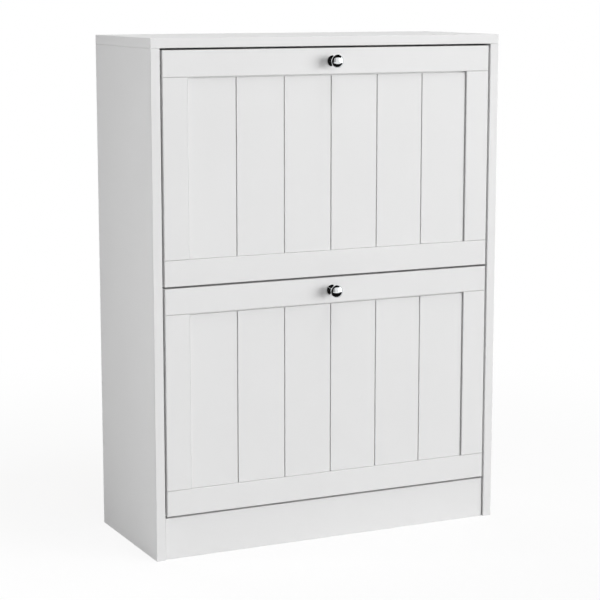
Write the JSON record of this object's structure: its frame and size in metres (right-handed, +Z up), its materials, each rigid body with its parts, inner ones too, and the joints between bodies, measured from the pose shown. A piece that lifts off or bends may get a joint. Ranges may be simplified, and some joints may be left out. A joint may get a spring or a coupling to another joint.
{
  "type": "shoe cabinet",
  "caption": "Slim white shoe cabinet with tip-out fronts that swing on pivot pins, planked panels, round chrome knobs, a plinth and shoe rows behind each front.",
  "frame": {"origin": "on the floor, under the middle of the bounding box of the closed cabinet, knobs included", "axes": "+Z up, the fronts face -Y, +X to the right of someone facing the fronts"},
  "size_m": [0.6, 0.265, 0.8],
  "materials": {
    "white_painted_board": "satin white paint on fibreboard",
    "white_foil_board": "matt white melamine foil on particle board",
    "white_hardboard": "white lacquered hardboard",
    "white_moulded_plastic": "moulded, fine spark texture",
    "chrome": "polished chrome plate",
    "zinc_plated_steel": "bright zinc plate",
    "zinc_alloy": "die-cast, tumbled",
    "beech": "fluted raw beech",
    "clear_bumper": "soft translucent pad"
  },
  "bodies": {
    "carcass": {"pivot_pins": "zinc_plated_steel", "stop_pins": "zinc_plated_steel", "back_nails": "zinc_plated_steel", "side_panel_left": "white_painted_board", "side_panel_right": "white_painted_board", "top_panel": "white_painted_board", "plinth": "white_painted_board", "base_panel": "white_foil_board", "middle_shelf": "white_foil_board", "top_stretcher": "white_foil_board", "rear_rail": "white_foil_board", "back_panel": "white_hardboard", "bumper_pads": "clear_bumper", "cam_housings": "zinc_alloy", "cam_bolts": "zinc_plated_steel", "wooden_dowels": "beech"},
    "upper_flap": {"upper_bracket_screws": "zinc_plated_steel", "upper_top_rail": "white_painted_board", "upper_bottom_rail": "white_painted_board", "upper_left_stile": "white_painted_board", "upper_right_stile": "white_painted_board", "upper_plank_panel": "white_painted_board", "upper_knob": "chrome", "upper_knob_screw": "zinc_plated_steel", "upper_left_bracket": "white_moulded_plastic", "upper_right_bracket": "white_moulded_plastic", "upper_front_floor": "white_foil_board", "upper_divider": "white_foil_board", "upper_rear_floor": "white_foil_board", "upper_rear_board": "white_foil_board"},
    "lower_flap": {"lower_bracket_screws": "zinc_plated_steel", "lower_top_rail": "white_painted_board", "lower_bottom_rail": "white_painted_board", "lower_left_stile": "white_painted_board", "lower_right_stile": "white_painted_board", "lower_plank_panel": "white_painted_board", "lower_knob": "chrome", "lower_knob_screw": "zinc_plated_steel", "lower_left_bracket": "white_moulded_plastic", "lower_right_bracket": "white_moulded_plastic", "lower_front_floor": "white_foil_board", "lower_divider": "white_foil_board", "lower_rear_floor": "white_foil_board", "lower_rear_board": "white_foil_board"}
  },
  "joints": [
    {"name": "upper_flap_tilt", "type": "hinge", "parent": "carcass", "child": "upper_flap", "pos_m": [0, -0.0865, 0.51767], "axis": [1, 0, 0], "range_deg": [0, 45]},
    {"name": "lower_flap_tilt", "type": "hinge", "parent": "carcass", "child": "lower_flap", "pos_m": [0, -0.0865, 0.15968], "axis": [1, 0, 0], "range_deg": [0, 45]}
  ]
}
